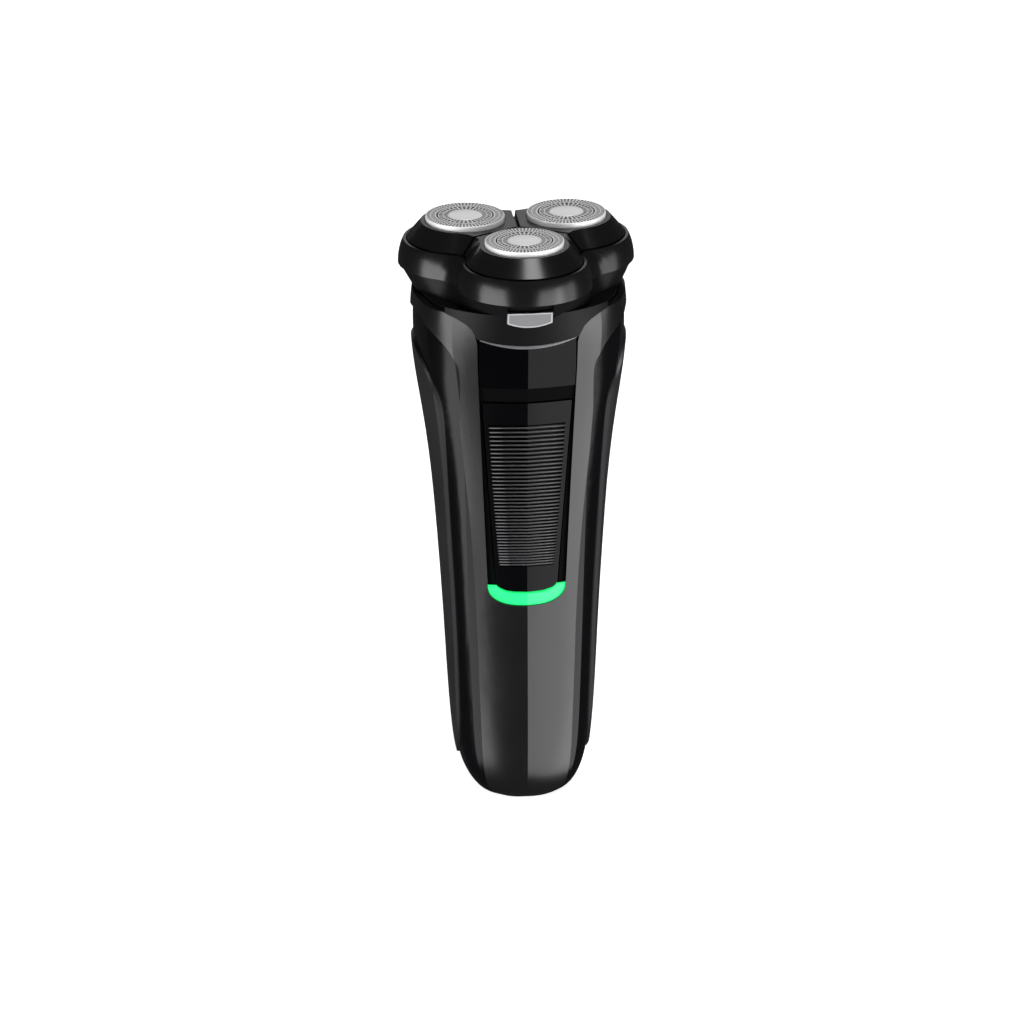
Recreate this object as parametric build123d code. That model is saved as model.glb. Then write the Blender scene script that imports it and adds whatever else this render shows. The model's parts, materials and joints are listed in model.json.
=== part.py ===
from build123d import *
import os
from math import atan, cos, hypot, pi, radians, sin, sqrt

# Rotary electric shaver, standing on its base. Millimetres, +Z up, -Y is the front, origin at the centre
# of the flat base. Three shaving units sit 120 degrees apart round the Z axis.

os.makedirs("parts", exist_ok=True)

# ---------------------------------------------------------------- driving dimensions
BODY_TOP = 135.0         # top edge of the casing
WALL = 1.8               # casing wall
SEAM = 0.12              # gap between casing parts
PITCH = 15.0             # shaving units' distance from the Z axis
UNIT_ANGLES = {"front": -90.0, "left": 150.0, "right": 30.0}

BAND_LOW = 140.3         # lower edge of the shaving head
BAND_HIGH = 146.6        # top edge of the head shell
PLATEAU = 151.2          # flat top of the petals
GUARD_TOP = 152.5
GUARD_R = 10.15
CUTTER_TOP = GUARD_TOP - 0.45

GEAR_MODULE = 0.6
PINION_TEETH = 21
GEAR_TEETH = 29
GEAR_LOW = 135.6
GEAR_THICK = 2.4
SPINDLE_TOP = 147.2

KEY_TOP = 110.5
KEY_LOW = 58.2
KEY_PIVOT_YZ = (-15.0, 108.0)   # hinge of the key
PORT_Y = -4.5            # centre of the charging socket
BATTERY_R = 7.0
BATTERY_Y = 2.4
BOARD_FRONT = -7.3
BOARD_THICK = 1.2
HINGE_Y = 26.4
HINGE_Z = 139.6
HINGE_PIN_R = 0.9

# Casing stations from the base up: height, half width, front depth, back depth, and the half widths of the
# front facet's edge and of the side band's edge.
STATIONS = [
    (0.0, 9.6, 9.2, 9.0, 6.6, 8.8),
    (1.4, 12.2, 11.2, 10.9, 8.6, 11.2),
    (4.0, 14.5, 13.0, 12.6, 10.6, 13.4),
    (9.0, 16.6, 14.4, 14.0, 12.5, 15.6),
    (17.0, 17.9, 15.3, 14.9, 13.6, 16.9),
    (30.0, 18.9, 15.9, 15.5, 14.2, 17.8),
    (48.0, 19.9, 16.5, 16.0, 14.8, 18.6),
    (68.0, 21.2, 17.4, 16.8, 15.4, 19.7),
    (88.0, 22.9, 18.9, 18.2, 16.0, 20.9),
    (104.0, 25.0, 20.6, 19.9, 16.8, 22.4),
    (118.0, 27.1, 22.4, 21.7, 18.2, 24.4),
    (128.0, 27.8, 23.7, 22.9, 19.0, 25.2),
    (135.0, 27.2, 24.3, 23.4, 18.8, 24.8),
]
SECTIONS = 15            # lofted sections, closer together near the base
ROUNDNESS = 2.5          # exponent of the casing's superellipse section
FACETS_FROM, FACETS_TO = 134.0, 122.0   # the section turns from smooth to faceted between these heights


def save(name, shape):
    """Writes one sub-part; its file name is the node's name."""
    shape.label = name
    export_step(shape, f"parts/{name}.step")


def tube(r_out, r_in, low, high, at=(0, 0)):
    """A round ring, or a cylinder where r_in is 0."""
    ring = Circle(r_out) - Circle(r_in) if r_in else Circle(r_out)
    return Pos(at[0], at[1], low) * extrude(ring, high - low)


def block(x0, x1, y0, y1, z0, z1):
    """A box between two corners."""
    middle = Pos((x0 + x1) / 2, (y0 + y1) / 2, (z0 + z1) / 2)
    return middle * Box(x1 - x0, y1 - y0, z1 - z0)


def rod(r, start, end):
    """A round rod from one point to another."""
    start, end = Vector(*start), Vector(*end)
    along = end - start
    return extrude(Plane(start, z_dir=along) * Circle(r), along.length)


def polar(radius, angle, at=(0.0, 0.0)):
    return at[0] + radius * cos(radians(angle)), at[1] + radius * sin(radians(angle))


# ---------------------------------------------------------------- casing
def on_section(half, front, back, x):
    """Depth of the superellipse at x, on its front half (first) and back half."""
    left = max(0.0, 1 - (x / half) ** ROUNDNESS) ** (1 / ROUNDNESS)
    return -front * left, back * left


def slope_at(i, column):
    """Slope of a station column at station i, kept from overshooting its neighbours."""
    def rise(a, b):
        return (STATIONS[b][column] - STATIONS[a][column]) / (STATIONS[b][0] - STATIONS[a][0])
    if i == 0:
        return rise(0, 1) * 1.4
    if i == len(STATIONS) - 1:
        return rise(i - 1, i)
    below, above = rise(i - 1, i), rise(i, i + 1)
    return 0.0 if below * above <= 0 else 2 * below * above / (below + above)


def station_at(z):
    """The casing's half width, front depth, back depth and two edge half widths at height z."""
    i = max(k for k in range(len(STATIONS) - 1) if STATIONS[k][0] <= z or k == 0)
    span = STATIONS[i + 1][0] - STATIONS[i][0]
    t = (z - STATIONS[i][0]) / span
    values = []
    for column in range(1, 6):
        start, end = STATIONS[i][column], STATIONS[i + 1][column]
        leave, arrive = span * slope_at(i, column), span * slope_at(i + 1, column)
        values.append((2 * t**3 - 3 * t**2 + 1) * start + (t**3 - 2 * t**2 + t) * leave
                      + (3 * t**2 - 2 * t**3) * end + (t**3 - t**2) * arrive)
    return values


def casing_section(height, inset, z):
    """One section of the casing: front facets, side bands and a round back."""
    half, front, back, edge, band = station_at(height)
    half, front, back = half - inset, front - inset, back - inset
    edge, band = edge - 0.4 * inset, band - 0.8 * inset
    share = min(1.0, max(0.0, (FACETS_FROM - z) / (FACETS_FROM - FACETS_TO)))

    def between(a, b, bulge):
        x = (a[0] + b[0]) / 2
        smooth = on_section(half, front, back, x)[0]
        length = hypot(b[0] - a[0], b[1] - a[1])
        out = ((b[1] - a[1]) / length, -(b[0] - a[0]) / length)
        flat_x = x + out[0] * bulge
        flat_y = (a[1] + b[1]) / 2 + out[1] * bulge
        return x + share * (flat_x - x), smooth + share * (flat_y - smooth)

    nose = (0.0, -front)
    corner = (edge, on_section(half, front, back, edge)[0])
    rear = (band, on_section(half, front, back, band)[0])
    side = (half, 0.0)
    behind = (0.72 * half, on_section(half, front, back, 0.72 * half)[1])
    tail = (0.0, back)
    runs = [
        (nose, between(nose, corner, 0.55), corner),
        (corner, between(corner, rear, 0.3), rear),
        (rear, ((rear[0] + half) / 2 + 0.22 * (half - rear[0]), 0.45 * rear[1]), side),
        (side, (0.94 * half, on_section(half, front, back, 0.94 * half)[1]), behind),
        (behind, (0.38 * half, on_section(half, front, back, 0.38 * half)[1]), tail),
    ]
    edges = [ThreePointArc(*(Vector(x, y, z) for x, y in run)) for run in runs]
    edges += [ThreePointArc(*(Vector(-x, y, z) for x, y in reversed(run))) for run in reversed(runs)]
    return Wire(edges)


def casing(inset, low=0.0, high=BODY_TOP):
    """The casing's outer solid, pulled in by inset all round."""
    sections = []
    for i in range(SECTIONS + 1):
        height = BODY_TOP * (i / SECTIONS) ** 2
        sections.append(casing_section(height, inset, low + (high - low) * height / BODY_TOP))
    return Solid.make_loft(sections)


def side_region(points, closing):
    """A side-view region: a smooth line through points, closed by straight lines, swept across the object."""
    line = Spline(*[(0, y, z) for y, z in points])
    rest = Polyline((0, *points[-1]), *[(0, y, z) for y, z in closing], (0, *points[0]))
    face = Face(Wire([line, *rest.edges()]))
    return Pos(-40, 0, 0) * extrude(face, 80, dir=(1, 0, 0))


FRONT_LINE = [(-30.0, 1.3), (-9.6, 1.6), (-10.9, 5.5), (-12.0, 12.0), (-13.0, 30.0), (-13.8, 55.0),
              (-15.3, 85.0), (-17.6, 108.0), (-18.9, 117.5), (-18.6, 124.0), (-14.2, 128.9), (0.0, 131.2),
              (30.0, 132.2)]
REAR_LINE = [(30.0, 8.0), (4.0, 8.4), (-3.4, 13.5), (-6.8, 26.0), (-8.2, 50.0), (-9.6, 80.0),
             (-12.2, 101.0), (-12.0, 113.0), (-5.0, 119.8), (8.0, 122.4), (30.0, 123.6)]


def front_region():
    return side_region(FRONT_LINE, [(30.0, 160.0), (-40.0, 160.0), (-40.0, 1.3)])


def rear_region():
    return side_region(REAR_LINE, [(60.0, 123.6), (60.0, 8.0)])


# The channel in the front cover that holds the key: half widths at its top and foot, heights of its foot,
# and the curve (half width, height) along which it widens to the casing's rim.
CHANNEL_TOP_HALF, CHANNEL_LOW_HALF = 12.75, 10.0
CHANNEL_LOW, CHANNEL_FLOOR = 59.0, 54.5
FLARE = [(12.9, 127.0), (13.5, 129.6), (14.6, 131.6), (16.2, 133.0), (18.4, 134.1), (21.0, 134.9)]


def channel(grow, top=None, near=-40.0, far=-8.0):
    """A front-view prism of the key channel, grown by grow all round, with a rounded foot. It flares out
    at the casing's rim, or stays straight up to a given top."""
    high_half, low_half = CHANNEL_TOP_HALF + grow, CHANNEL_LOW_HALF + grow
    low, floor = CHANNEL_LOW - grow * 0.3, CHANNEL_FLOOR - grow
    if top:
        rim = [(high_half, top)]
    else:
        rim = [(x + grow, z - 0.3 * grow) for x, z in FLARE] + [(21.0 + grow, BODY_TOP + 5)]
    right = [(low_half, 0, low), (high_half, 0, 120)] + [(x, 0, z) for x, z in rim]
    sides = Polyline(*[(-x, y, z) for x, y, z in right], *right[::-1])
    curve = [(low_half, low), (low_half - 0.8, low - 2.0), (low_half - 3.0, floor + 0.9), (0.0, floor)]
    foot = Spline(*[(x, 0, z) for x, z in curve], *[(-x, 0, z) for x, z in curve[-2::-1]])
    face = Face(Wire([*sides.edges(), foot]))
    return Pos(0, near, 0) * extrude(face, far - near, dir=(0, 1, 0))


def key_outline(grow, low=KEY_LOW, high=KEY_TOP, near=-40.0, far=-8.0):
    """Front-view prism of the ribbed key: 23 mm wide at its top, 15.8 mm at its foot."""
    top_half, low_half = 11.5 + grow, 7.9 + grow
    sides = Polyline((-low_half, 0, low + 2.6), (-top_half, 0, high + grow),
                     (top_half, 0, high + grow), (low_half, 0, low + 2.6))
    curve = [(low_half, low + 2.6), (low_half - 0.7, low + 1.2), (low_half - 2.6, low + 0.45 - grow),
             (0, low - grow)]
    foot = Spline(*[(x, 0, z) for x, z in curve], *[(-x, 0, z) for x, z in curve[-2::-1]])
    face = Face(Wire([*sides.edges(), foot]))
    return Pos(0, near, 0) * extrude(face, far - near, dir=(0, 1, 0))


def softened(shape, radius, pick):
    """The shape with the picked edges rounded, or left sharp where the rounding can't be made."""
    for attempt in (radius, radius / 2):
        try:
            rounded = fillet(pick(shape), attempt)
            if rounded.is_valid and rounded.volume > 0:
                return rounded
        except Exception:
            continue
    return shape


def make_casing():
    """Front cover, rear grip and the slimmer frame that shows between them."""
    outer = casing(0.0)
    slim = casing(0.7)
    cavity = casing(WALL, low=WALL, high=BODY_TOP + 1.0)
    port = block(-4.9, 4.9, PORT_Y - 2.0, PORT_Y + 2.0, -1, WALL + 0.5)
    front, rear = front_region(), rear_region()
    cover = (outer & front) - cavity - channel(0.0)
    back = (outer & rear) - cavity
    grown = Pos(0, SEAM, -SEAM) * front
    grown_rear = Pos(0, -SEAM, SEAM) * rear
    frame = slim - cavity - grown - grown_rear - (Pos(0, 0, -SEAM) * rear) - port - channel(1.5, top=BODY_TOP)
    return {"front_cover": cover, "rear_grip": back, "mid_frame": frame}


# ---------------------------------------------------------------- clover outline shared by the head parts
def clover(radius, valley, z, pitch=PITCH):
    """Closed outline of three lobes round the unit centres, joined by hollow valley arcs."""
    reach = (pitch + sqrt(pitch**2 + 4 * ((radius + valley) ** 2 - pitch**2))) / 2
    edges = []
    for angle in (30.0, 150.0, 270.0):
        lobe = polar(pitch, angle)
        before, after = polar(reach, angle - 60), polar(reach, angle + 60)
        joints = []
        for fillet_centre in (before, after):
            share = radius / (radius + valley)
            joints.append([lobe[k] + (fillet_centre[k] - lobe[k]) * share for k in (0, 1)])
        next_lobe = polar(pitch, angle + 120)
        share = radius / (radius + valley)
        far_joint = [next_lobe[k] + (after[k] - next_lobe[k]) * share for k in (0, 1)]
        tip = polar(pitch + radius, angle)
        dip = polar(reach - valley, angle + 60)
        edges.append(ThreePointArc((*joints[0], z), (*tip, z), (*joints[1], z)))
        edges.append(ThreePointArc((*joints[1], z), (*dip, z), (*far_joint, z)))
    return Wire(edges)


def clover_loft(levels):
    """Solid through clover outlines given as (radius, valley, z) or (radius, valley, z, pitch)."""
    return Solid.make_loft([clover(*level) for level in levels])


def clover_plate(radius, valley, low, high, pitch=PITCH):
    return extrude(Face(clover(radius, valley, low, pitch)), high - low, dir=(0, 0, 1))


def at_unit(angle, shape):
    """Moves a shape modelled for a unit at the origin (outward = +X) to the unit at the given angle."""
    return Rot(0, 0, angle) * Pos(PITCH, 0, 0) * shape


# ---------------------------------------------------------------- gears
def gear_outline(teeth, turn):
    """Involute gear with 20 degree flanks; a tooth is centred on the turn angle."""
    pitch_r = GEAR_MODULE * teeth / 2
    base_r = pitch_r * cos(radians(20))
    tip_r, root_r = pitch_r + GEAR_MODULE * 0.95, pitch_r - GEAR_MODULE * 1.2
    half_tooth = (pi / 2 - 0.1 / GEAR_MODULE) / teeth

    def involute(r):
        roll = sqrt(max(0.0, (r / base_r) ** 2 - 1))
        return roll - atan(roll)

    flank = [max(base_r, root_r) + (tip_r - max(base_r, root_r)) * k / 4 for k in range(5)]
    points = []
    for tooth in range(teeth):
        middle = radians(turn) + 2 * pi * tooth / teeth
        offsets = [half_tooth + involute(pitch_r) - involute(r) for r in flank]
        points.append((root_r * cos(middle - offsets[0]), root_r * sin(middle - offsets[0])))
        points += [(r * cos(middle - a), r * sin(middle - a)) for r, a in zip(flank, offsets)]
        points += [(r * cos(middle + a), r * sin(middle + a)) for r, a in zip(flank[::-1], offsets[::-1])]
        points.append((root_r * cos(middle + offsets[0]), root_r * sin(middle + offsets[0])))
    return Polyline(*points, close=True)


def gear(teeth, turn, bore, low=GEAR_LOW, thick=GEAR_THICK):
    body = extrude(make_face(gear_outline(teeth, turn)), thick)
    return Pos(0, 0, low) * body - tube(bore, 0, low - 1, low + thick + 1)


# ---------------------------------------------------------------- control panel in the channel
BEZEL_FRONT, BEZEL_MIDDLE, BEZEL_BACK = 0.9, 1.95, 2.7   # insets of the bezel's front, shoulder and back
PANEL_LOW, PANEL_HIGH = 114.8, 129.6
LIGHT_TOP = 59.7
RIBS = 40                # grooves on the key less one, closer together near the foot
RIB_HIGH, RIB_LOW = 104.3, 65.3


def make_controls(skins):
    """Bezel, upper panel, ribbed key and light guide; skins holds casing solids by inset."""
    opening = key_outline(0.35)
    below = block(-20, 20, -40, 0, 40, LIGHT_TOP + 0.1)
    face_layer = (skins[BEZEL_FRONT] - skins[BEZEL_MIDDLE]) & channel(-0.1, top=PANEL_HIGH) - tongue_view(0.2)
    flange = (skins[BEZEL_MIDDLE] - skins[BEZEL_BACK]) & channel(1.3, top=PANEL_HIGH)
    windows = [block(x - 1.4, x + 1.4, -40, -8, 55.4, 57.4) for x in (-4.0, 4.0)]
    bezel = (face_layer - below) + flange - opening - windows
    for side in (-1, 1):
        ear = block(*sorted((side * 11.95, side * 13.15)), -17.9, -13.4, 106.2, 109.8)
        bezel += (ear & skins[BEZEL_MIDDLE]) - rod(0.85, (side * 11, *KEY_PIVOT_YZ), (side * 14, *KEY_PIVOT_YZ))
    panel = (skins[0.15] - skins[BEZEL_FRONT]) & channel(-0.3, top=PANEL_HIGH) - tongue_view(0.2)
    panel &= block(-20, 20, -40, 0, PANEL_LOW, PANEL_HIGH)
    guide = ((skins[0.5] - skins[BEZEL_MIDDLE]) & channel(-0.08)) - key_outline(0.45)
    guide &= block(-20, 20, -40, 0, 50, LIGHT_TOP)

    key = (skins[0.5] - skins[1.85]) & key_outline(0.0)
    grooves = []
    for i in range(RIBS + 1):
        share = i / RIBS
        height = RIB_LOW + (RIB_HIGH - RIB_LOW) * (0.74 * share + 0.26 * share**2)
        half = 7.05 + (9.85 - 7.05) * share
        grooves.append(block(-half, half, -40, -8, height - 0.2, height + 0.2))
    key -= (Part() + grooves) & (skins[0.4] - skins[0.85])
    for side in (-1, 1):
        arm = block(*sorted((side * 9.2, side * 10.6)), -19.5, -13.8, 106.8, 109.2)
        key += arm & skins[1.0] & key_outline(0.0)
        key += rod(0.8, (side * 10.4, *KEY_PIVOT_YZ), (side * 13.1, *KEY_PIVOT_YZ))
    plunger = block(-1.5, 1.5, -16.5, -10.85, 62.5, 65.5)
    key += plunger & skins[1.0]
    return {"control_bezel": bezel, "upper_panel": panel, "power_key": key, "light_guide": guide}


# ---------------------------------------------------------------- electronics and battery
def make_electronics():
    back = BOARD_FRONT + BOARD_THICK
    board = block(-9, 9, BOARD_FRONT, back, 7.0, 97.0)
    board += block(-5.4, 5.4, BOARD_FRONT, back, 2.8, 7.0)
    socket = block(-4.47, 4.47, back, back + 3.2, 0.6, 8.0)
    socket = fillet(socket.edges().filter_by(Axis.Z), 1.4)
    hollow = block(-4.15, 4.15, back + 0.32, back + 2.88, 0.5, 6.8)
    socket -= fillet(hollow.edges().filter_by(Axis.Z), 1.1)
    socket += block(-3.3, 3.3, back + 1.25, back + 1.95, 1.2, 6.9)
    leds = Part()
    for x in (-4.0, 4.0):
        leds += block(x - 0.8, x + 0.8, BOARD_FRONT - 0.7, BOARD_FRONT, 55.6, 57.2)
    switch = block(-3.0, 3.0, BOARD_FRONT - 2.0, BOARD_FRONT, 61.0, 67.0)
    switch += rod(1.5, (0, BOARD_FRONT - 1.9, 64.0), (0, BOARD_FRONT - 2.6, 64.0))
    cell = tube(BATTERY_R, 0, 12.0, 61.4, (0, BATTERY_Y))
    cell = fillet(cell.edges(), 0.6)
    cell += tube(2.2, 0, 61.3, 62.0, (0, BATTERY_Y))
    tabs = Part()
    for low, high in ((11.7, 12.0), (62.0, 62.3)):
        tabs += block(-2.5, 2.5, back, BATTERY_Y + 3.0, low, high)
    return {"circuit_board": board, "charging_socket": socket, "indicator_leds": leds, "key_switch": switch,
            "battery": cell, "battery_tabs": tabs}


# ---------------------------------------------------------------- chassis, motor and gear train
MOTOR_X, MOTOR_Y, MOTOR_LOW, MOTOR_HIGH = 10.2, 7.7, 99.0, 131.0
PLATE_LOW, PLATE_HIGH = 133.0, 134.6
DECK_LOW, DECK_HIGH = 138.8, 140.2
SCREW_SPOTS = [polar(14.0, angle) for angle in (90.0, -30.0, -150.0)]


def make_chassis():
    plate = block(-7, 7, 9.8, 11.4, 14.0, 98.0)
    plate += block(-9, 9, 7.9, 11.4, 96.4, 98.0)
    plate += block(-9, 9, 7.9, 9.5, 96.4, 131.4)
    for low in (18.0, 34.0, 50.0):
        clip = tube(BATTERY_R + 1.5, BATTERY_R + 0.05, low, low + 6.0, (0, BATTERY_Y))
        clip -= block(-20, 20, -20, BATTERY_Y - 3.0, low - 1, low + 7)
        plate += clip
    for side in (-1, 1):
        plate += block(*sorted((side * 10.3, side * 11.5)), -4.0, 9.5, 104.0, 131.4)
        plate += block(*sorted((side * 8.5, side * 11.5)), 7.9, 9.5, 104.0, 131.4)
    flange = clover_plate(9.6, 10.0, 131.4, PLATE_LOW - 0.02) - block(-30, 30, -40, -21.4, 130, 134)
    flange -= tube(5.0, 0, 130, 134)
    plate += flange
    for x, y in SCREW_SPOTS:
        plate += tube(2.2, 0, 128.0, 131.4, (x, y))
        plate -= tube(0.9, 0, 129.2, 134.0, (x, y))
    return plate


def make_motor():
    can = block(-MOTOR_X, MOTOR_X, -MOTOR_Y, MOTOR_Y, MOTOR_LOW + 2.0, MOTOR_HIGH)
    can = fillet(can.edges().filter_by(Axis.Z), 3.4)
    inner_x, inner_y = MOTOR_X - 0.8, MOTOR_Y - 0.8
    hollow = block(-inner_x, inner_x, -inner_y, inner_y, MOTOR_LOW + 1.0, MOTOR_HIGH - 0.8)
    can -= fillet(hollow.edges().filter_by(Axis.Z), 2.6)
    can += tube(3.0, 0, MOTOR_HIGH - 1.0, MOTOR_HIGH + 1.4)
    can -= tube(1.04, 0, MOTOR_HIGH - 2.0, MOTOR_HIGH + 2.0)
    end_cap = block(-MOTOR_X, MOTOR_X, -MOTOR_Y, MOTOR_Y, MOTOR_LOW, MOTOR_LOW + 2.0)
    end_cap = fillet(end_cap.edges().filter_by(Axis.Z), 3.4)
    end_cap += tube(2.6, 0, MOTOR_LOW + 1.9, MOTOR_LOW + 3.2)
    end_cap -= tube(1.04, 0, MOTOR_LOW + 0.6, MOTOR_LOW + 5)
    shaft = tube(1.0, 0, MOTOR_LOW + 0.8, GEAR_LOW + GEAR_THICK + 0.2)
    shaft += tube(5.6, 0, 106.0, 126.0)
    shaft += tube(2.2, 0, 103.0, 105.0)
    return {"motor_can": can, "motor_end_cap": end_cap, "motor_shaft": shaft,
            "pinion": gear(PINION_TEETH, 30.0, 1.0)}


def make_gear_case():
    plate = clover_plate(9.9, 10.0, PLATE_LOW, PLATE_HIGH) - block(-30, 30, -40, -22.9, 130, 136)
    plate -= tube(3.4, 0, 130, 136)
    deck = clover_plate(10.4, 10.0, DECK_LOW, DECK_HIGH)
    for x, y in SCREW_SPOTS:
        deck += tube(2.4, 0, PLATE_HIGH, DECK_HIGH, (x, y))
        deck -= tube(0.95, 0, 130, 145, (x, y))
        plate += tube(2.4, 0, PLATE_LOW, PLATE_HIGH, (x, y))
        plate -= tube(0.95, 0, 130, 145, (x, y))
    for angle in UNIT_ANGLES.values():
        at = polar(PITCH, angle)
        deck += tube(4.0, 0, DECK_LOW, 141.4, at)
        deck -= tube(1.56, 0, 130, 145, at)
        plate -= tube(1.56, 0, PLATE_LOW + 0.4, 145, at)
    deck -= block(-3.7, 3.7, -40, -24.3, 138, 141)
    screws = Part()
    for x, y in SCREW_SPOTS:
        screw = tube(0.9, 0, 129.6, DECK_HIGH + 0.1, (x, y)) + tube(1.7, 0, DECK_HIGH, DECK_HIGH + 1.0, (x, y))
        screws += screw - block(x - 1.3, x + 1.3, y - 0.25, y + 0.25, DECK_HIGH + 0.5, DECK_HIGH + 2)
    seals = Part()
    for angle in UNIT_ANGLES.values():
        seals += tube(3.4, 1.62, 141.4, 142.0, polar(PITCH, angle))
    return {"gear_plate": plate, "gear_cover": deck, "cover_screws": screws, "spindle_seals": seals}


def make_gears():
    made = {}
    wheel = gear(GEAR_TEETH, 180.0 + 180.0 / GEAR_TEETH, 1.5)
    spindle = tube(1.5, 0, PLATE_LOW + 0.5, SPINDLE_TOP) + tube(3.0, 0, GEAR_LOW + GEAR_THICK, 138.6)
    drive = Pos(0, 0, SPINDLE_TOP - 1.4) * extrude(RegularPolygon(2.0, 3), 1.4)
    spindle = spindle + fillet(drive.edges().filter_by(Axis.Z), 0.4)
    for name, angle in UNIT_ANGLES.items():
        made[f"gear_{name}"] = at_unit(angle, wheel)
        made[f"spindle_{name}"] = at_unit(angle, spindle)
    return made


# ---------------------------------------------------------------- collar, release button and hinge
BUTTON_HALF, BUTTON_LOW, BUTTON_HIGH = 5.85, 133.0, 137.5


def tongue_face(z, middle_y, side_y, thick):
    """Section of the collar's tongue at height z: a curved front and a parallel back."""
    front = ThreePointArc((-21, side_y, z), (0, middle_y, z), (21, side_y, z))
    back = ThreePointArc((21, side_y + thick, z), (0, middle_y + thick, z), (-21, side_y + thick, z))
    ends = [Line(front @ 1, back @ 0), Line(back @ 1, front @ 0)]
    return Wire([front, ends[0], back, ends[1]])


def button_view(grow):
    """Front-view outline of the release button: flat top, rounded bottom."""
    half, low, high = BUTTON_HALF + grow, BUTTON_LOW - grow, BUTTON_HIGH + grow
    sides = Polyline((-half, 0, low + 1.4), (-half, 0, high), (half, 0, high), (half, 0, low + 1.4))
    foot = ThreePointArc((half, 0, low + 1.4), (0, 0, low), (-half, 0, low + 1.4))
    return extrude(Pos(0, -36, 0) * Face(Wire([*sides.edges(), foot])), 16, dir=(0, 1, 0))


def collar_solid(inset):
    return clover_loft([(18.0 - inset, 18.0 + inset, 135.05, 10.0), (17.3 - inset, 12.0 + inset, 137.6, 12.6),
                        (16.8 - inset, 8.0 + inset, BAND_LOW - 0.05, PITCH)])


def tongue_view(drop, near=-36.0, depth=20.0):
    """Front-view prism of everything above the tongue's curved lower edge, lowered by drop."""
    edge = [(21.0, 131.4), (12.9, 129.0), (7.7, 127.4), (0.0, 126.7), (-7.7, 127.4), (-12.9, 129.0),
            (-21.0, 131.4)]
    curve = Spline(*[(x, 0, z - drop) for x, z in edge])
    box = Polyline((-21, 0, 131.4 - drop), (-21, 0, 136.6), (21, 0, 136.6), (21, 0, 131.4 - drop))
    return extrude(Pos(0, near, 0) * Face(Wire([*box.edges(), curve])), depth, dir=(0, 1, 0))


def make_collar():
    shell = collar_solid(0.0) - clover_loft([(16.4, 19.6, 135.0, 10.0), (15.7, 13.6, 137.6, 12.6),
                                             (15.2, 9.6, BAND_LOW, PITCH)])
    tongue = Solid.make_loft([tongue_face(126.0, -24.7, -18.4, 1.6), tongue_face(136.6, -28.3, -18.6, 1.6)])
    tongue &= tongue_view(0.0) & channel(-0.15)
    inside = clover_plate(16.4, 19.6, 133.4, 136.0, 10.0)
    shoulder = extrude(Face(casing_section(BODY_TOP, 2.0, 133.5)), 2.2) - clover_plate(10.3, 10.0, 133, 136)
    for x, y in SCREW_SPOTS:
        shoulder -= tube(3.0, 0, 133, 136, (x, y))
    shoulder -= block(-30, 30, -22.4, 30, 133, 135.05)
    collar = shell + ((tongue + shoulder) - collar_solid(1.6) - inside)
    collar -= button_view(0.2)
    recess = block(-5.9, 5.9, -36, -20, BUTTON_HIGH + 0.5, 139.8)
    collar -= recess - collar_solid(1.0)
    for side in (-1, 1):
        ear = block(*sorted((side * 3.2, side * 6.0)), 20.6, 25.6, 137.4, 139.9)
        ear -= collar_solid(0.8)
        ear += rod(1.9, (side * 3.2, HINGE_Y, HINGE_Z), (side * 6.0, HINGE_Y, HINGE_Z))
        collar += ear - rod(HINGE_PIN_R, (side * 3.0, HINGE_Y, HINGE_Z), (side * 6.5, HINGE_Y, HINGE_Z))
    pin = rod(HINGE_PIN_R, (-6.0, HINGE_Y, HINGE_Z), (6.0, HINGE_Y, HINGE_Z))
    return {"collar": collar, "hinge_pin": pin}


LATCH_LOW, LATCH_HIGH = 140.9, 141.7


def make_button():
    side = Polyline((0, -27.3, 132.8), (0, -28.9, 137.6), (0, -25.8, 137.6), (0, -25.8, 132.8), close=True)
    slab = Pos(-8, 0, 0) * extrude(make_face(side), 16, dir=(1, 0, 0))
    button = slab & button_view(0.0)
    button = softened(button, 0.4, lambda s: s.faces().sort_by(Axis.Y)[0].edges())
    button += block(-3.0, 3.0, -26.9, -25.8, 136.0, LATCH_HIGH)
    button += block(-3.0, 3.0, -27.65, -26.8, LATCH_LOW, LATCH_HIGH)
    points = [(-5.2, -22.95), (0, -25.5), (5.2, -22.95)]
    leaf = Polyline(*points, (5.2, -23.25), (0, -25.8), (-5.2, -23.25), close=True)
    spring = Pos(0, 0, 133.4) * extrude(make_face(leaf), 1.0)
    return {"release_button": button, "release_spring": spring}


# ---------------------------------------------------------------- shaving head
TILT_Z = 144.6           # height of the petals' tilting axis


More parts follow.
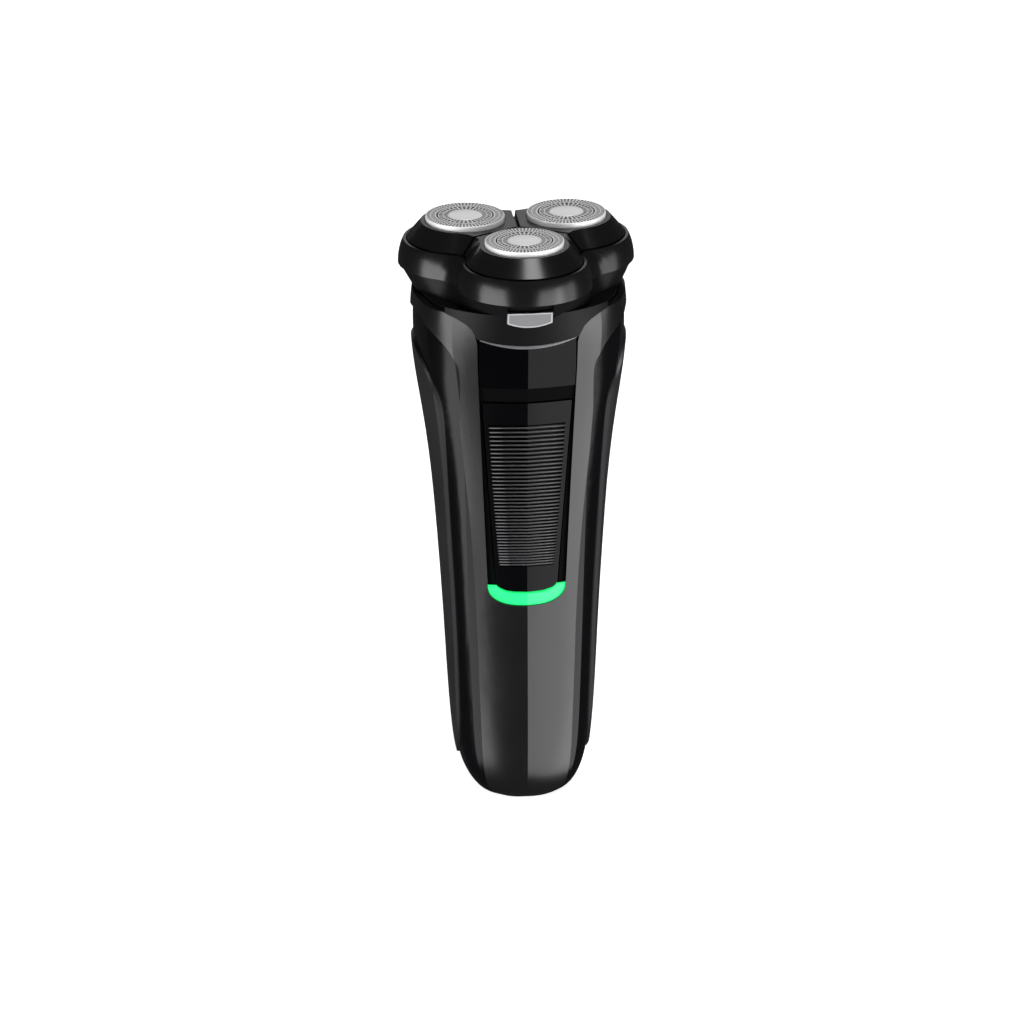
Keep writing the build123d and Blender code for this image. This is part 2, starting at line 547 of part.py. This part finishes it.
def make_head():
    outer = clover_loft([(17.3, 10.0, BAND_LOW), (16.9, 7.2, 143.8), (15.9, 3.5, BAND_HIGH)])
    inner = clover_loft([(15.9, 11.4, BAND_LOW - 0.01), (15.8, 8.3, 143.8), (15.2, 4.2, BAND_HIGH + 0.01)])
    shell = outer - inner
    arm = block(-2.9, 2.9, 20.0, HINGE_Y, 140.5, 141.5) - inner
    eye = rod(1.9, (-2.9, HINGE_Y, HINGE_Z), (2.9, HINGE_Y, HINGE_Z))
    knuckle = arm + eye - rod(HINGE_PIN_R + 0.05, (-4, HINGE_Y, HINGE_Z), (4, HINGE_Y, HINGE_Z))
    shell += knuckle
    frame = clover_plate(15.6, 9.6, 142.0, 143.4)
    frame &= inner
    for angle in UNIT_ANGLES.values():
        frame -= tube(10.4, 0, 141, 145, polar(PITCH, angle))
    for angle in (90.0, -30.0, -150.0):
        frame += Rot(0, 0, angle) * block(0.0, 13.5, -0.25, 0.25, 143.2, 149.6)
    frame += block(-2.9, 2.9, -28.7, -27.9, 139.9, 142.4)
    frame += block(-2.9, 2.9, -28.2, -27.15, 139.9, 140.7)
    pins = Part()
    for angle in UNIT_ANGLES.values():
        for side in (-1, 1):
            lug = block(-1.3, 1.3, *sorted((side * 12.2, side * 13.3)), 143.2, 145.3)
            lug = at_unit(angle, lug) & inner
            pin_line = [(0, side * 12.2, TILT_Z), (0, side * 14.5, TILT_Z)]
            frame += lug - at_unit(angle, rod(0.6, *pin_line))
            pins += at_unit(angle, rod(0.6, *pin_line))
    return {"head_shell": shell, "head_frame": frame, "petal_pins": pins}


def make_petals():
    """Three petals cut from one clover-shaped top by three gaps, with a deep round seat for each guard."""
    top = clover_loft([(15.0, 4.0, BAND_HIGH + 0.3), (11.4, 7.6, PLATEAU)])
    skirt = clover_plate(14.6, 4.4, 145.5, BAND_HIGH + 0.4)
    body = top + skirt
    for angle in UNIT_ANGLES.values():
        at = polar(PITCH, angle)
        body -= tube(12.4, 0, 145, 150.0, at)
        body -= tube(10.35, 0, 145, 153, at)
    made = {}
    for name, angle in UNIT_ANGLES.items():
        wedge_points = [(0.58, 0), polar(60, -60, (0.58, 0)), (70, 0), polar(60, 60, (0.58, 0))]
        wedge = Rot(0, 0, angle) * extrude(Pos(0, 0, 140) * make_face(Polyline(*wedge_points, close=True)), 20)
        petal = body & wedge
        for side in (-1, 1):
            ear = block(-1.5, 1.5, *sorted((side * 13.4, side * 14.4)), 143.9, 146.5)
            ear -= rod(0.65, (0, side * 13, TILT_Z), (0, side * 15, TILT_Z))
            petal += at_unit(angle, ear)
        made[f"petal_{name}"] = petal
    return made


def make_unit():
    """One shaving unit at the origin, outward = +X."""
    retainer = tube(12.35, 11.0, 146.4, 147.4) + tube(8.6, 7.6, 146.4, 147.2)
    for turn in (0, 120, 240):
        retainer += Rot(0, 0, turn) * block(8.2, 11.5, -1.2, 1.2, 146.4, 147.2)
    wave = tube(10.9, 10.1, 147.45, 147.8) + tube(10.9, 10.1, 148.6, 148.95)
    for turn in range(0, 360, 60):
        wave += tube(0.38, 0, 147.6, 148.8, polar(10.5, turn))
    guard = tube(11.0, 9.8, 149.0, 149.6) + tube(GUARD_R, 9.8, 149.0, GUARD_TOP)
    guard += tube(GUARD_R, 2.0, CUTTER_TOP, GUARD_TOP)
    guard -= tube(7.3, 6.9, GUARD_TOP - 0.2, GUARD_TOP + 1)
    slots = [Rot(0, 0, 10 * i) * block(7.7, 9.3, -0.16, 0.16, 152, 153) for i in range(36)]
    slots += [Rot(0, 0, 20 * i + 5) * block(5.0, 6.4, -0.25, 0.25, 152, 153) for i in range(18)]
    guard -= slots
    cap = tube(4.4, 0, GUARD_TOP, GUARD_TOP + 0.3) + tube(2.0, 0, CUTTER_TOP, GUARD_TOP)
    cap = softened(cap, 0.2, lambda s: s.faces().sort_by(Axis.Z)[-1].edges())
    blades = tube(9.6, 3.0, 148.6, 149.5)
    for i in range(12):
        blade = block(6.0, 9.5, -0.2, 0.2, 149.4, CUTTER_TOP - 0.05)
        blades += Rot(0, 0, 30 * i) * blade
    hub = tube(3.0, 0, 146.0, 149.5) + tube(3.9, 0, 149.5, 150.3)
    hub -= tube(2.25, 0, 145, 149.0)
    return {"retainer": retainer, "wave_spring": wave, "guard": guard, "guard_cap": cap,
            "cutter_blades": blades, "cutter_hub": hub}


# ---------------------------------------------------------------- build every part
skins = {inset: casing(inset) for inset in (0.15, 0.4, 0.5, 0.85, 0.9, 1.0, 1.85, 1.95, 2.7)}
parts = {**make_casing(), "chassis": make_chassis()}
for group in (make_controls(skins), make_electronics(), make_motor(), make_gear_case(), make_gears(),
              make_collar(), make_button(), make_head(), make_petals()):
    parts.update(group)
unit = make_unit()
for side, angle in UNIT_ANGLES.items():
    for name, shape in unit.items():
        parts[f"{name}_{side}"] = at_unit(angle, shape)
for name, shape in parts.items():
    save(name, shape)
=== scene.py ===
import json
from math import cos, pi, radians, sin, sqrt

import bmesh
import bpy
from mathutils import Matrix, Vector

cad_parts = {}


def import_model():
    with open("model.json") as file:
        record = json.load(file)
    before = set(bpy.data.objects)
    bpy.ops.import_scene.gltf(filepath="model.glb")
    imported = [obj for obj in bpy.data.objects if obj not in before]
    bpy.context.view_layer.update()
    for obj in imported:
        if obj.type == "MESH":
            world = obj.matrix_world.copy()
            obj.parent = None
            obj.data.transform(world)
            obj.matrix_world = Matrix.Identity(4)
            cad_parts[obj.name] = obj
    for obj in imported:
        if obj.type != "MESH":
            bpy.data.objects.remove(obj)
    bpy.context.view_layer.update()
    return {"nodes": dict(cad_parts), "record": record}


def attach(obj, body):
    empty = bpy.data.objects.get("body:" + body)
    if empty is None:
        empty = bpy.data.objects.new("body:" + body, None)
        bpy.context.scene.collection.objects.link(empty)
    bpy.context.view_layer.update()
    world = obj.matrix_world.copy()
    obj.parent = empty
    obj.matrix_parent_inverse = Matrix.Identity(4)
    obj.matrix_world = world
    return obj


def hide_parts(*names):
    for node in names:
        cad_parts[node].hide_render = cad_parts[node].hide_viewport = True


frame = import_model()
nodes = frame["nodes"]
MM = 0.001

# ---------------------------------------------------------------- shader helpers
def group_base(name, outputs, inputs=()):
    """Empty shader node group with the given output sockets, and its input and output nodes."""
    tree = bpy.data.node_groups.new(name, "ShaderNodeTree")
    for label, kind, default in inputs:
        socket = tree.interface.new_socket(label, in_out="INPUT", socket_type=kind)
        socket.default_value = default
    for label, kind in outputs:
        tree.interface.new_socket(label, in_out="OUTPUT", socket_type=kind)
    return tree, tree.nodes.new("NodeGroupInput"), tree.nodes.new("NodeGroupOutput")


def make_grain():
    """Fine moulded grain and broad cloudiness, both read from Object coordinates."""
    tree, inn, out = group_base("grain", [("Fine", "NodeSocketFloat"), ("Broad", "NodeSocketFloat")],
                                [("Scale", "NodeSocketFloat", 9000.0)])
    coord = tree.nodes.new("ShaderNodeTexCoord")
    fine = tree.nodes.new("ShaderNodeTexNoise")
    fine.inputs["Detail"].default_value = 3.0
    fine.inputs["Roughness"].default_value = 0.6
    broad = tree.nodes.new("ShaderNodeTexNoise")
    broad.inputs["Scale"].default_value = 60.0
    broad.inputs["Detail"].default_value = 2.0
    tree.links.new(coord.outputs["Object"], fine.inputs["Vector"])
    tree.links.new(coord.outputs["Object"], broad.inputs["Vector"])
    tree.links.new(inn.outputs["Scale"], fine.inputs["Scale"])
    tree.links.new(fine.outputs["Fac"], out.inputs["Fine"])
    tree.links.new(broad.outputs["Fac"], out.inputs["Broad"])
    return tree


GRAIN = make_grain()


def ramp(tree, source, low, high, start=0.3, end=0.7):
    """Maps a 0..1 value onto low..high."""
    node = tree.nodes.new("ShaderNodeMapRange")
    node.inputs["From Min"].default_value = start
    node.inputs["From Max"].default_value = end
    node.inputs["To Min"].default_value = low
    node.inputs["To Max"].default_value = high
    tree.links.new(source, node.inputs["Value"])
    return node.outputs["Result"]


def mix_colour(tree, source, dark, light):
    node = tree.nodes.new("ShaderNodeMix")
    node.data_type = "RGBA"
    node.inputs[6].default_value = (*dark, 1.0)
    node.inputs[7].default_value = (*light, 1.0)
    tree.links.new(source, node.inputs[0])
    return node.outputs[2]


def material(name, colour, rough, metal=0.0, spread=0.15, bump=0.0, scale=9000.0, glow=None, specular=0.5):
    """Principled material whose colour, roughness and surface all vary with the grain group."""
    mat = bpy.data.materials.new(name)
    mat.use_nodes = True
    tree = mat.node_tree
    shader = tree.nodes["Principled BSDF"]
    grain = tree.nodes.new("ShaderNodeGroup")
    grain.node_tree = GRAIN
    grain.inputs["Scale"].default_value = scale
    dark = [c * (1 - spread) for c in colour]
    light = [min(1.0, c * (1 + spread)) for c in colour]
    tree.links.new(mix_colour(tree, grain.outputs["Broad"], dark, light), shader.inputs["Base Color"])
    tree.links.new(ramp(tree, grain.outputs["Broad"], rough * 0.93, rough * 1.07), shader.inputs["Roughness"])
    shader.inputs["Metallic"].default_value = metal
    shader.inputs["Specular IOR Level"].default_value = specular
    if bump:
        node = tree.nodes.new("ShaderNodeBump")
        node.inputs["Strength"].default_value = bump
        node.inputs["Distance"].default_value = 0.00005
        tree.links.new(grain.outputs["Fine"], node.inputs["Height"])
        tree.links.new(node.outputs["Normal"], shader.inputs["Normal"])
    if glow:
        dim, bright, strength = glow
        tree.links.new(mix_colour(tree, grain.outputs["Broad"], dim, bright), shader.inputs["Emission Color"])
        shader.inputs["Emission Strength"].default_value = strength
    return mat


MATS = {
    "black_satin": material("black_satin", (0.004, 0.004, 0.0045), 0.24, bump=0.03),
    "black_gloss": material("black_gloss", (0.003, 0.003, 0.0035), 0.20, specular=0.35),
    "panel_gloss": material("panel_gloss", (0.001, 0.001, 0.0013), 0.12, specular=0.10),
    "grip_rubber": material("grip_rubber", (0.010, 0.010, 0.011), 0.42, bump=0.08),
    "key_black": material("key_black", (0.001, 0.001, 0.0013), 0.22, specular=0.12, bump=0.02),
    "rib_black": material("rib_black", (0.03, 0.03, 0.032), 0.22, bump=0.02),
    "inner_plastic": material("inner_plastic", (0.05, 0.05, 0.055), 0.45, bump=0.15),
    "gear_plastic": material("gear_plastic", (0.72, 0.70, 0.63), 0.42, bump=0.1),
    "board_green": material("board_green", (0.01, 0.12, 0.05), 0.4, bump=0.1),
    "cell_wrap": material("cell_wrap", (0.05, 0.18, 0.36), 0.3, bump=0.05),
    "seal_rubber": material("seal_rubber", (0.03, 0.03, 0.03), 0.7, bump=0.3),
    "steel": material("steel", (0.55, 0.55, 0.56), 0.32, metal=1.0, bump=0.1),
    "cutter_steel": material("cutter_steel", (0.10, 0.10, 0.11), 0.5, metal=1.0, bump=0.1),
    "collar_black": material("collar_black", (0.004, 0.004, 0.0045), 0.36, bump=0.04, specular=0.13),
    "guard_steel": material("guard_steel", (0.95, 0.95, 0.96), 0.45, metal=0.3, spread=0.10, bump=0.15),
    "polished_steel": material("polished_steel", (0.99, 0.99, 0.99), 0.30, metal=0.1, spread=0.02,
                               specular=0.8),
    "silver_satin": material("silver_satin", (0.30, 0.30, 0.31), 0.34, metal=0.6, spread=0.05),
    "band_gloss": material("band_gloss", (0.002, 0.002, 0.0025), 0.16, specular=0.16),
    # Painted highlight: the button's rim is a lighter copy of the face's silver, so the bevel reads bright.
    "rim_silver_painted_highlight": material("rim_silver_painted_highlight", (0.62, 0.62, 0.63), 0.34, metal=0.6, spread=0.03),
    "shadow_black": material("shadow_black", (0.001, 0.001, 0.001), 0.6, specular=0.04),
    # Painted highlight: the tongue lip is coloured grey, lighter than the black collar, so it reads as a
    # bright line along the edge.
    "lip_painted_highlight": material("lip_painted_highlight", (0.10, 0.10, 0.105), 0.3, specular=1.0),
    "brass": material("brass", (0.62, 0.45, 0.20), 0.3, metal=1.0, bump=0.1),
    "green_light": material("green_light", (0.0, 0.30, 0.10), 0.35,
                            glow=((0.0, 0.85, 0.13), (0.02, 1.0, 0.24), 1.0)),
    "led_white": material("led_white", (0.3, 0.8, 0.4), 0.3, glow=((0.2, 1.0, 0.4), (0.3, 1.0, 0.5), 1.0)),
}
UNITS = {"front": -90.0, "left": 150.0, "right": 30.0}
# Nodes whose look differs from their material slot.
LOOKS = {"collar": "collar_black", "mid_frame": "band_gloss", "upper_panel": "panel_gloss",
         "control_bezel": "shadow_black", **{f"cutter_blades_{side}": "cutter_steel" for side in UNITS}}
for item in frame["record"]["subparts"]:
    mesh = nodes[item["node"]].data
    mesh.materials.clear()
    mesh.materials.append(MATS[LOOKS.get(item["node"], item["material_slot"])])

# ---------------------------------------------------------------- new pieces
PITCH, GUARD_TOP = 15.0, 152.5


def link_piece(name, bm, body, smooth=True, mats=()):
    """Makes the mesh an object at the origin, in metres, riding on a body."""
    bmesh.ops.scale(bm, vec=(MM, MM, MM), verts=bm.verts)
    for face in bm.faces:
        face.smooth = smooth
    mesh = bpy.data.meshes.new(name)
    bm.to_mesh(mesh)
    bm.free()
    piece = bpy.data.objects.new(name, mesh)
    bpy.context.scene.collection.objects.link(piece)
    for mat in mats:
        mesh.materials.append(mat)
    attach(piece, body)
    return piece


def to_unit(bm, angle):
    """Moves a mesh modelled round the Z axis to the unit at the given angle."""
    bmesh.ops.translate(bm, verts=bm.verts, vec=(PITCH, 0, 0))
    bmesh.ops.rotate(bm, verts=bm.verts, cent=(0, 0, 0), matrix=Matrix.Rotation(radians(angle), 3, "Z"))


def perforated_ring(bm, levels, holes, count, thick, gap):
    """Flat ring built from radial levels; holes lists the level indices that are open in the middle of each
    of count sectors, over a gap share of the sector. The ring is then given its thickness."""
    step = 2 * pi / count
    cuts = [-0.5, -gap / 2, gap / 2, 0.5]
    grid = bmesh.ops.create_grid(bm, x_segments=len(levels) - 1, y_segments=3, size=0.5)["verts"]
    sector = sorted(grid, key=lambda v: (round(v.co.y, 4), v.co.x))
    for i, vert in enumerate(sector):
        row, column = divmod(i, len(levels))
        (r, z), a = levels[column], step * cuts[row]
        vert.co = (r * cos(a), r * sin(a), z)
    doomed = []
    for face in {f for v in grid for f in v.link_faces}:
        middle = face.calc_center_median()
        radius = middle.xy.length
        turn = middle.xy.angle_signed(Vector((1.0, 0.0)))
        for k in holes:
            inside = levels[k][0] < radius < levels[k + 1][0]
            if inside and abs(turn) < step * gap / 2:
                doomed.append(face)
    bmesh.ops.delete(bm, geom=doomed, context="FACES")
    geometry = [part for v in grid if v.is_valid for part in (v, *v.link_edges, *v.link_faces)]
    geometry = list(dict.fromkeys(geometry))
    bmesh.ops.spin(bm, geom=geometry, cent=(0, 0, 0), axis=(0, 0, 1), angle=2 * pi * (count - 1) / count,
                   steps=count - 1, use_duplicate=True)
    bmesh.ops.remove_doubles(bm, verts=bm.verts, dist=0.002)
    bmesh.ops.recalc_face_normals(bm, faces=bm.faces)
    bmesh.ops.solidify(bm, geom=list(bm.faces), thickness=thick)


def lathe(bm, profile, steps=96):
    """Solid of revolution round the Z axis from an (r, z) profile."""
    verts = [bm.verts.new((r, 0.0, z)) for r, z in profile]
    edges = [bm.edges.new((a, b)) for a, b in zip(verts, verts[1:])]
    bmesh.ops.spin(bm, geom=verts + edges, cent=(0, 0, 0), axis=(0, 0, 1), angle=2 * pi, steps=steps,
                   use_merge=True)
    bmesh.ops.remove_doubles(bm, verts=bm.verts, dist=0.0005)
    bmesh.ops.recalc_face_normals(bm, faces=bm.faces)


def join(bm, other):
    """Copies another bmesh into this one."""
    mesh = bpy.data.meshes.new("joined")
    other.to_mesh(mesh)
    other.free()
    bm.from_mesh(mesh)
    bpy.data.meshes.remove(mesh)


def make_guard(side, angle):
    """One shaving guard: two perforated rings, the wall, the groove, the cap and a shade under the holes."""
    top = GUARD_TOP
    bm = bmesh.new()
    outer = [(7.35, top), (7.75, top), (8.7, top), (8.95, top), (9.84, top), (9.86, top)]
    perforated_ring(bm, outer, (1, 3), 64, 0.05, gap=0.52)
    inner = bmesh.new()
    levels = [(4.5, top), (4.55, top), (5.5, top), (5.75, top), (6.7, top), (6.95, top)]
    perforated_ring(inner, levels, (1, 3), 34, 0.05, gap=0.6)
    join(bm, inner)
    wall = bmesh.new()
    lathe(wall, [(9.8, top), (9.98, top - 0.02), (10.1, top - 0.1), (10.15, top - 0.28), (10.15, 149.7),
                 (9.85, 149.7), (9.85, top - 0.14), (9.8, top)])
    join(bm, wall)
    groove = bmesh.new()
    lathe(groove, [(6.9, top), (6.97, top - 0.04), (7.0, top - 0.25), (7.32, top - 0.25), (7.34, top - 0.04),
                   (7.4, top), (7.4, top - 0.3), (6.9, top - 0.3), (6.9, top)])
    join(bm, groove)
    to_unit(bm, angle)
    guard = link_piece(f"guard_{side}_visual", bm, f"guard_{side}", smooth=False,
                       mats=[MATS["guard_steel"]])
    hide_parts(f"guard_{side}")
    bm = bmesh.new()
    lathe(bm, [(0.0, top + 0.42), (1.2, top + 0.40), (2.4, top + 0.33), (3.5, top + 0.21), (4.1, top + 0.10),
               (4.4, top - 0.04), (4.46, top - 0.2), (4.5, top - 0.3), (0.0, top - 0.3)])
    to_unit(bm, angle)
    shade = bmesh.new()
    lathe(shade, [(4.5, top - 0.08), (9.82, top - 0.08), (9.82, top - 0.2), (4.5, top - 0.2),
                  (4.5, top - 0.08)])
    to_unit(shade, angle)
    link_piece(f"guard_shade_{side}", shade, f"guard_{side}", mats=[MATS["shadow_black"]])
    cap = link_piece(f"guard_cap_{side}_visual", bm, f"guard_{side}",
                     mats=[MATS["polished_steel"]])
    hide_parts(f"guard_cap_{side}")


for unit_side, unit_angle in UNITS.items():
    make_guard(unit_side, unit_angle)


def surface_depth(x, z, node="power_key"):
    """How far forward the node's skin is at (x, z), in millimetres, or None where it has none."""
    hit, spot, _, _ = nodes[node].ray_cast(Vector((x * MM, -0.05, z * MM)), Vector((0, 1, 0)))
    return spot.y / MM if hit else None


RIBS, RIB_LOW, RIB_HIGH = 40, 65.3, 104.3


def rib_height(i):
    """Height of the key's groove number i, in millimetres."""
    share = i / RIBS
    return RIB_LOW + (RIB_HIGH - RIB_LOW) * (0.74 * share + 0.26 * share**2)


def make_ribs():
    """Thin rounded bars between the key's grooves, each bent over the key's centre ridge."""
    bm = bmesh.new()
    for i in range(RIBS):
        z = (rib_height(i) + rib_height(i + 1)) / 2
        half = 7.05 + 2.8 * (i + 0.5) / RIBS
        bar = bmesh.new()
        bmesh.ops.create_cube(bar, size=1.0)
        bmesh.ops.scale(bar, vec=(2 * half, 0.5, 0.42), verts=bar.verts)
        long_edges = [e for e in bar.edges if e.calc_length() > half]
        bmesh.ops.bevel(bar, geom=long_edges, offset=0.16, segments=3, profile=0.5, affect="EDGES",
                        material=-1)
        long_edges = [e for e in bar.edges if e.calc_length() > half]
        bmesh.ops.subdivide_edges(bar, edges=long_edges, cuts=3, use_grid_fill=True)
        ridge = surface_depth(0.0, z) or -19.0
        quarter = surface_depth(half * 0.5, z) or ridge + 1.0
        for v in bar.verts:
            v.co.y += ridge + (quarter - ridge) * abs(v.co.x) / (half * 0.5) + 0.12
            v.co.z += z
        join(bm, bar)
    link_piece("key_ribs", bm, "power_key", mats=[MATS["rib_black"]])


def make_button():
    """Bevelled rim, coloured a lighter silver than the face as a painted highlight, and a slightly sunk face
    on the release button.
    """
    bm = bmesh.new()
    half, low, high, foot_radius = 5.75, 133.1, 137.4, 12.9
    across = [half, 5.0, 4.0, 3.0, 2.0, 1.0, 0.0, -1.0, -2.0, -3.0, -4.0, -5.0, -half]
    foot = [(x, low + foot_radius - sqrt(foot_radius**2 - x**2)) for x in across]
    outline = [(-half, high), (half, high), *foot]
    verts = [bm.verts.new((x, 0.0, z)) for x, z in outline]
    face = bm.faces.new(verts)
    for inward, outward in ((0.30, 0.26), (0.36, 0.0), (0.16, -0.22)):
        bmesh.ops.inset_region(bm, faces=[face], thickness=inward, depth=-outward, use_boundary=True,
                               use_even_offset=True)
    for other in bm.faces:
        other.material_index = 1
    face.material_index = 0
    for v in bm.verts:
        v.co.y += -27.42 - (v.co.z - 133.0) * 0.327
    bmesh.ops.recalc_face_normals(bm, faces=bm.faces)
    link_piece("button_face", bm, "release_button", smooth=False,
               mats=[MATS["silver_satin"], MATS["rim_silver_painted_highlight"]])


def make_lip():
    """Thin rounded lip along the lower edge of the collar's tongue. Its grey colour, much lighter than the
    black collar, is a painted highlight along that edge.
    """
    half, low, sag, radius = 12.4, 127.05, 0.0114, 0.42
    bm = bmesh.new()
    bmesh.ops.create_grid(bm, x_segments=48, y_segments=8, size=1.0)
    for v in bm.verts:
        x, turn = half * v.co.x, pi * (v.co.y + 1) / 2
        z = low + sag * x * x
        depth = surface_depth(x, z + 0.5, "collar") or -24.0
        round_off = radius * (1 - 0.85 * v.co.x**2)
        v.co = (x, depth + 0.12 - round_off * sin(turn), z + round_off * cos(turn))
    bmesh.ops.recalc_face_normals(bm, faces=bm.faces)
    bmesh.ops.solidify(bm, geom=list(bm.faces), thickness=0.05)
    link_piece("tongue_lip", bm, "handle", mats=[MATS["lip_painted_highlight"]])


make_ribs()
make_button()
make_lip()

# ---------------------------------------------------------------- floor, light and camera
def floor():
    """Pale floor, bright enough to read as plain white."""
    bm = bmesh.new()
    bmesh.ops.create_grid(bm, x_segments=2, y_segments=2, size=4.0)
    mesh = bpy.data.meshes.new("floor")
    bm.to_mesh(mesh)
    bm.free()
    plane = bpy.data.objects.new("floor", mesh)
    bpy.context.scene.collection.objects.link(plane)
    white = material("floor_white", (0.86, 0.86, 0.86), 0.9, spread=0.01, scale=200.0, specular=0.0,
                     glow=((0.93, 0.93, 0.93), (0.94, 0.94, 0.94), 1.0))
    mesh.materials.append(white)
    plane.visible_glossy = False
    plane.visible_shadow = False


def direction(azimuth, elevation):
    """Unit vector towards an azimuth (0 is the front) and an elevation, in degrees."""
    a, e = radians(azimuth), radians(elevation)
    return Vector((sin(a) * cos(e), -cos(a) * cos(e), sin(e)))


AIM = Vector((0.0, 0.0, 0.08))
FRAME_WIDTH = 262.564  # what the camera's view spans at the object, in millimetres
CAMERA_DISTANCE = 5.0


def lamp(name, azimuth, elevation, distance, width, height, power):
    """Soft rectangular lamp aimed at the object."""
    data = bpy.data.lights.new(name, "AREA")
    data.shape = "RECTANGLE"
    data.size, data.size_y = width, height
    data.energy = power
    light = bpy.data.objects.new(name, data)
    light.location = AIM + direction(azimuth, elevation) * distance
    light.rotation_euler = direction(azimuth, elevation).to_track_quat("Z", "Y").to_euler()
    light.visible_camera = False
    bpy.context.scene.collection.objects.link(light)


def world():
    scene_world = bpy.data.worlds.new("studio")
    scene_world.use_nodes = True
    back = scene_world.node_tree.nodes["Background"]
    back.inputs["Color"].default_value = (1.0, 1.0, 1.0, 1.0)
    back.inputs["Strength"].default_value = 0.035
    bpy.context.scene.world = scene_world


def camera():
    """Long lens far away, aimed a little left of the object's middle."""
    data = bpy.data.cameras.new("camera")
    data.sensor_width = 36.0
    data.lens = data.sensor_width * CAMERA_DISTANCE / (FRAME_WIDTH * MM)
    data.clip_end = 30
    eye = bpy.data.objects.new("camera", data)
    aim = Vector((-2.2, 0.0, 74.3)) * MM
    back = direction(-5.6, 19.0)
    eye.location = aim + back * CAMERA_DISTANCE
    turn = back.to_track_quat("Z", "Y").to_matrix() @ Matrix.Rotation(radians(-0.4), 3, "Z")
    eye.rotation_euler = turn.to_euler()
    bpy.context.scene.collection.objects.link(eye)
    bpy.context.scene.camera = eye


floor()
world()
lamp("right_low", 39, -18, 1.2, 1.0, 1.3, 13)
lamp("right_far", 68, -16, 1.2, 0.9, 1.2, 7)
lamp("left_low", -60, -14, 1.2, 1.1, 1.2, 17)
lamp("top", 20, 68, 1.1, 0.45, 0.6, 7)
lamp("behind", 176, 24, 1.4, 1.6, 0.7, 2.0)
camera()
bpy.context.scene.view_settings.view_transform = "Standard"
bpy.context.scene.view_settings.look = "None"
